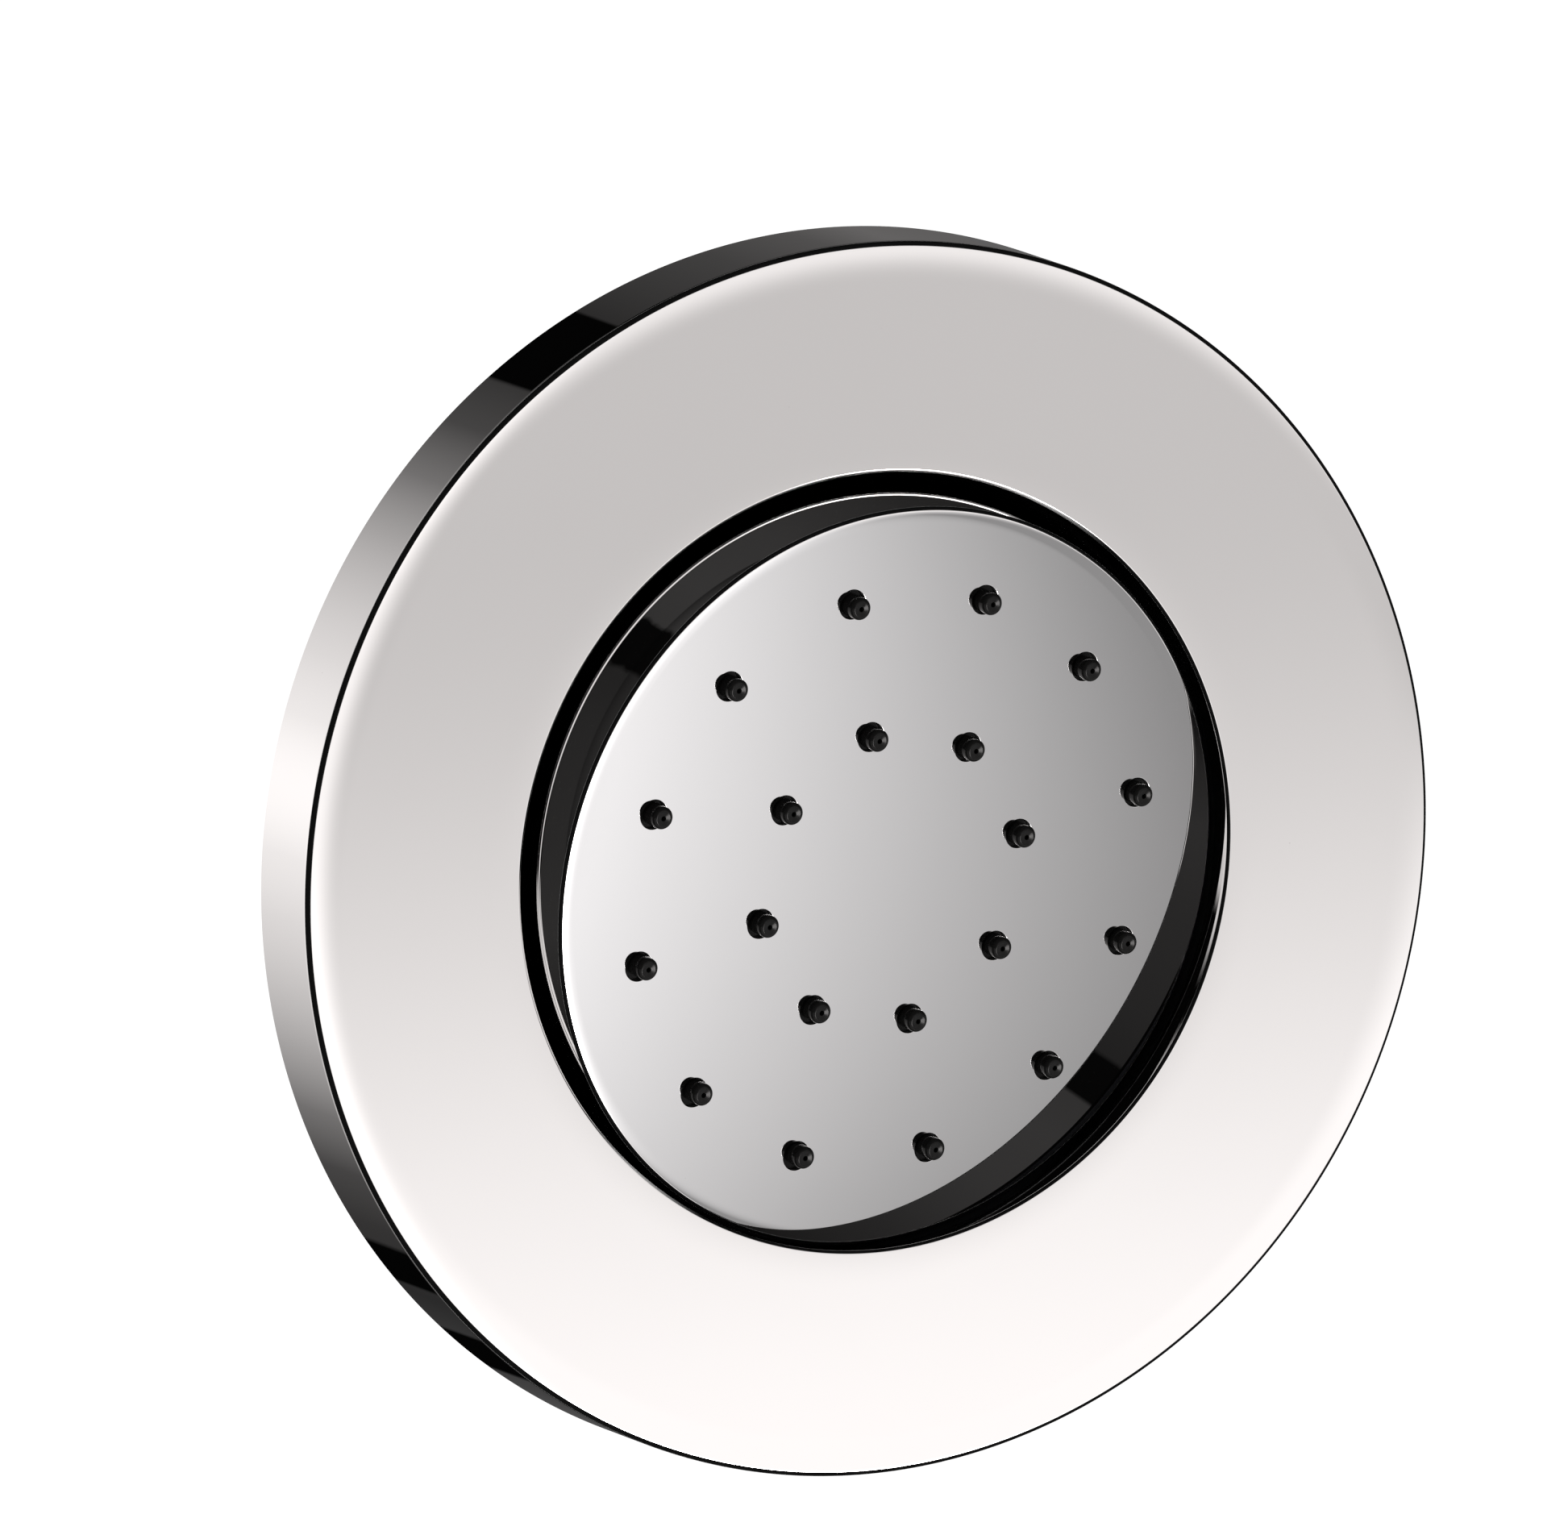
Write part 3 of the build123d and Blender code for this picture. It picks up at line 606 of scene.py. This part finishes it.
mat.plate(mat.ring(MAT_R, MAT_BACK, SEG), duct_rings, -HEAD_N)
mat_ob = mat.build("nozzle_mat_soft")
mat_ob.data.materials.append(SILICONE)
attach(mat_ob, "head")
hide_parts("nozzle_mat")

# ---------------------------------------------------------------------------
# Camera: fitted to the flange's edges and the nozzles
# ---------------------------------------------------------------------------
cam_data = bpy.data.cameras.new("camera")
cam_data.sensor_fit = "HORIZONTAL"
cam_data.sensor_width = 36.0
cam_data.lens = 14631.85 / 1945 * 36.0
cam_data.clip_start, cam_data.clip_end = 0.01, 50.0
cam = bpy.data.objects.new("camera", cam_data)
right = Vector((0.8993769, -0.4371719, -0.0013957))
down = Vector((-0.0745296, -0.1501795, -0.9858455))
fwd = Vector((0.4307744, 0.8867507, -0.1676503))
cam.matrix_world = Matrix((
    (right.x, -down.x, -fwd.x, -0.4918870),
    (right.y, -down.y, -fwd.y, -1.0016585),
    (right.z, -down.z, -fwd.z, 0.1975271),
    (0, 0, 0, 1),
))
bpy.context.scene.collection.objects.link(cam)
bpy.context.scene.camera = cam

# ---------------------------------------------------------------------------
# Studio: white sweep for the eye, soft boxes and black flags for the chrome
# ---------------------------------------------------------------------------
scene = bpy.context.scene
scene.view_settings.view_transform = "Standard"
scene.view_settings.look = "None"
scene.view_settings.exposure = 0.0
scene.view_settings.gamma = 1.0

world = bpy.data.worlds.new("studio")
scene.world = world
world.use_nodes = True
w = Nodes(world.node_tree)
w_out = w.new("ShaderNodeOutputWorld")
sep = w.new("ShaderNodeSeparateXYZ")
geo = w.new("ShaderNodeTexCoord")
w.link(geo.outputs["Generated"], sep.inputs[0])
dx, dy, dz = sep.outputs

front = w.math("MAXIMUM", w.math("MULTIPLY", dy, -1.0), 0.001)
behind = w.math("MAXIMUM", dy, 0.001)
p, q = w.math("DIVIDE", dx, front), w.math("DIVIDE", dz, front)

# front soft box, seen in the flange
lf = w.math("ADD", w.smooth(q, -0.162, -0.262, 0.54, 0.98), w.smooth(q, -0.145, -0.075, 0.0, 0.30))
lf = w.math("MINIMUM", w.math("ADD", lf, w.smooth(p, 0.435, 0.36, 0.0, 0.4)), 1.04)
# and its falling-off right half, seen in the head's face
pa, qa = w.math("SUBTRACT", p, 0.81), w.math("ADD", q, 0.48)
lb = w.math("ADD", w.math("MULTIPLY", pa, -6.185), 0.461)
lb = w.math("ADD", lb, w.math("MULTIPLY", qa, 0.105))
lb = w.math("ADD", lb, w.math("MULTIPLY", w.math("MULTIPLY", pa, pa), 16.0))
lb = w.math("SUBTRACT", lb, w.math("MULTIPLY", w.math("MULTIPLY", pa, qa), 48.0))
lb = w.math("SUBTRACT", lb, w.math("MULTIPLY", w.math("MULTIPLY", qa, qa), 51.7))
lb = w.math("MINIMUM", w.math("MAXIMUM", lb, 0.26), w.smooth(p, 0.755, 0.69, 0.86, 1.15))
face_side = w.math("MULTIPLY", w.smooth(p, 0.575, 0.635), w.smooth(q, -0.33, -0.40))
l1 = w.mix(face_side, lf, lb)
# bright middle, between the two, seen only in the nozzles and small edges
core = w.math("MULTIPLY", w.smooth(p, 0.32, 0.38), w.smooth(p, 0.60, 0.54))
core = w.math("MULTIPLY", core, w.math("MULTIPLY", w.smooth(q, -0.64, -0.58), w.smooth(q, -0.33, -0.39)))
l1 = w.math("ADD", l1, w.math("MULTIPLY", core, 14.0))
win = w.math("MULTIPLY", w.smooth(p, 0.16, 0.27), w.smooth(p, 1.06, 0.98))
win = w.math("MULTIPLY", win, w.math("MULTIPLY", w.smooth(q, -0.80, -0.72), w.smooth(q, 0.05, -0.02)))
win = w.math("MULTIPLY", win, w.smooth(dy, -0.05, -0.10))
soft_front = w.math("MULTIPLY", w.math("MULTIPLY", l1, 1.0 / 0.89), win)
# the rest of the front wall and both lower sides, for views from elsewhere
turn = w.math("ARCTAN2", w.math("MULTIPLY", dx, -1.0), dz)
left_side = w.math("MULTIPLY", w.smooth(turn, math.radians(95), math.radians(103)), w.smooth(dy, -0.475, -0.53))
right_side = w.math("MULTIPLY", w.smooth(turn, math.radians(-85), math.radians(-95)), w.smooth(dy, -0.12, -0.34))
low_left = w.math("MULTIPLY", w.smooth(turn, math.radians(140), math.radians(158)), w.smooth(dy, -0.12, -0.34))
left_side = w.math("MAXIMUM", left_side, low_left)
reach = w.math("MAXIMUM", w.smooth(dy, -0.70, -0.78), w.math("MAXIMUM", left_side, right_side))
wall = w.math("MULTIPLY", w.smooth(q, 0.15, -0.75, 0.48, 0.98), reach)
wall = w.math("MULTIPLY", wall, w.smooth(q, -0.14, -0.26))
# and a box above it, seen in the face when the head is turned up
above = w.math("MULTIPLY", w.smooth(p, -0.14, -0.04), w.smooth(p, 1.06, 0.98))
above = w.math("MULTIPLY", above, w.math("MULTIPLY", w.smooth(q, -0.10, 0.0), w.smooth(q, 0.42, 0.32)))
wall = w.math("MAXIMUM", wall, w.math("MULTIPLY", above, w.smooth(q, 0.0, 0.35, 0.62, 0.40)))
soft_front = w.math("ADD", soft_front, w.math("MULTIPLY", wall, w.math("SUBTRACT", 1.0, win)))

# rear soft box on the left, seen in the rim
rad = w.math("MAXIMUM", w.math("SQRT", w.math("ADD", w.math("MULTIPLY", dx, dx), w.math("MULTIPLY", dz, dz))), 0.001)
side01 = w.math("MULTIPLY_ADD", w.math("DIVIDE", dx, rad), -0.5, 0.5)
rear = w.ramp(side01, [
    (0.0, 0.115), (0.03, 0.13), (0.08, 0.085), (0.18, 0.055), (0.30, 0.038), (0.40, 0.024), (0.5525, 0.036),
    (0.6545, 0.063), (0.75, 0.18), (0.8345, 0.40), (0.9045, 0.605), (0.9568, 0.77), (0.989, 0.925), (1.0, 1.09),
])
fa = w.math("DIVIDE", dx, behind)
wob = w.math("MULTIPLY", w.math("SUBTRACT", w.noise(geo.outputs["Generated"], 14.0, 2.0, 0.6), 0.5), 0.05)
fa = w.math("ADD", fa, wob)


def strip(lo, hi):
    return w.math("MULTIPLY", w.smooth(fa, lo - 0.006, lo + 0.006), w.smooth(fa, hi + 0.006, hi - 0.006))


up, low = w.smooth(dz, 0.10, 0.14), w.smooth(dz, -0.10, -0.14)
flag = w.math("MULTIPLY", strip(-0.074, 0.129), up)
flag = w.math("MAXIMUM", flag, w.math("MULTIPLY", w.math("MAXIMUM", strip(-0.019, 0.093), strip(0.20, 0.30)), low))
rear = w.mix(flag, rear, 0.0)
rear = w.math("MULTIPLY", rear, w.smooth(dy, 0.30, 0.45))
# a second box straight behind, for views of the back
axial = w.math("DIVIDE", rad, behind)
rear = w.math("MAXIMUM", rear, w.math("MULTIPLY", w.smooth(axial, 0.42, 0.34), 0.75))

# dim room seen at a slant: grey above, a black gap at the upper left, darker on the left
turn = w.math("ADD", turn, w.math("MULTIPLY", wob, 0.8))
dim = w.ramp(w.math("MULTIPLY_ADD", turn, 0.5 / math.pi, 0.5), [
    (0.0, 0.002), (0.30, 0.008), (0.375, 0.018), (0.4139, 0.022), (0.4583, 0.030), (0.50, 0.037), (0.5556, 0.040),
    (0.5918, 0.036), (0.5930, 0.001), (0.6265, 0.001), (0.6277, 0.017), (0.6667, 0.021), (0.75, 0.025), (0.8056, 0.030),
    (0.8472, 0.020), (0.8889, 0.005), (1.0, 0.002),
])
dim = w.math("MULTIPLY", dim, w.math("MULTIPLY", w.smooth(dy, -0.72, -0.58), w.smooth(dy, 0.20, 0.05)))
total = w.math("ADD", w.math("ADD", soft_front, rear), w.math("ADD", dim, 0.0012))

hue = w.mix_color(face_side, (1.027, 0.991, 0.982), (1.011, 0.992, 0.997))
bg_refl = w.new("ShaderNodeBackground")
w.link(total, bg_refl.inputs["Strength"])
w.link(hue, bg_refl.inputs["Color"])
bg_eye = w.new("ShaderNodeBackground")
bg_eye.inputs["Color"].default_value = (1, 1, 1, 1)
bg_eye.inputs["Strength"].default_value = 1.0
path = w.new("ShaderNodeLightPath")
mixer = w.new("ShaderNodeMixShader")
w.link(path.outputs["Is Camera Ray"], mixer.inputs[0])
w.link(bg_refl.outputs[0], mixer.inputs[1])
w.link(bg_eye.outputs[0], mixer.inputs[2])
w.link(mixer.outputs[0], w_out.inputs["Surface"])

# pale floor, far enough below to stay out of the chrome
floor_bm = bmesh.new()
bmesh.ops.create_grid(floor_bm, x_segments=1, y_segments=1, size=15.0)
floor = new_object("floor", floor_bm)
floor.location = (0, 0, -1.0)
fm, fg, fb, fco = material("floor_white", Metallic=0.0, Roughness=0.9)
fb.inputs["Base Color"].default_value = (0.9, 0.9, 0.9, 1)
fb.inputs["Emission Color"].default_value = (1, 1, 1, 1)
fb.inputs["Emission Strength"].default_value = 1.0
floor.data.materials.append(fm)
floor.visible_glossy = False
floor.visible_shadow = False


def soft_light(name, loc, size, power):
    d = bpy.data.lights.new(name, "AREA")
    d.shape = "DISK"
    d.size = size
    d.energy = power
    o = bpy.data.objects.new(name, d)
    o.location = loc
    o.rotation_mode = "QUATERNION"
    o.rotation_quaternion = (-Vector(loc)).to_track_quat("-Z", "Y")
    o.visible_glossy = False
    o.visible_camera = False
    bpy.context.scene.collection.objects.link(o)
    return o


soft_light("key", (0.9, -1.3, 0.9), 0.9, 22.0)
soft_light("fill", (-1.4, -0.6, 0.5), 1.0, 9.0)
soft_light("rear_key", (-0.9, 1.4, 0.9), 0.9, 22.0)
soft_light("rear_fill", (1.3, 1.0, 0.2), 1.0, 12.0)
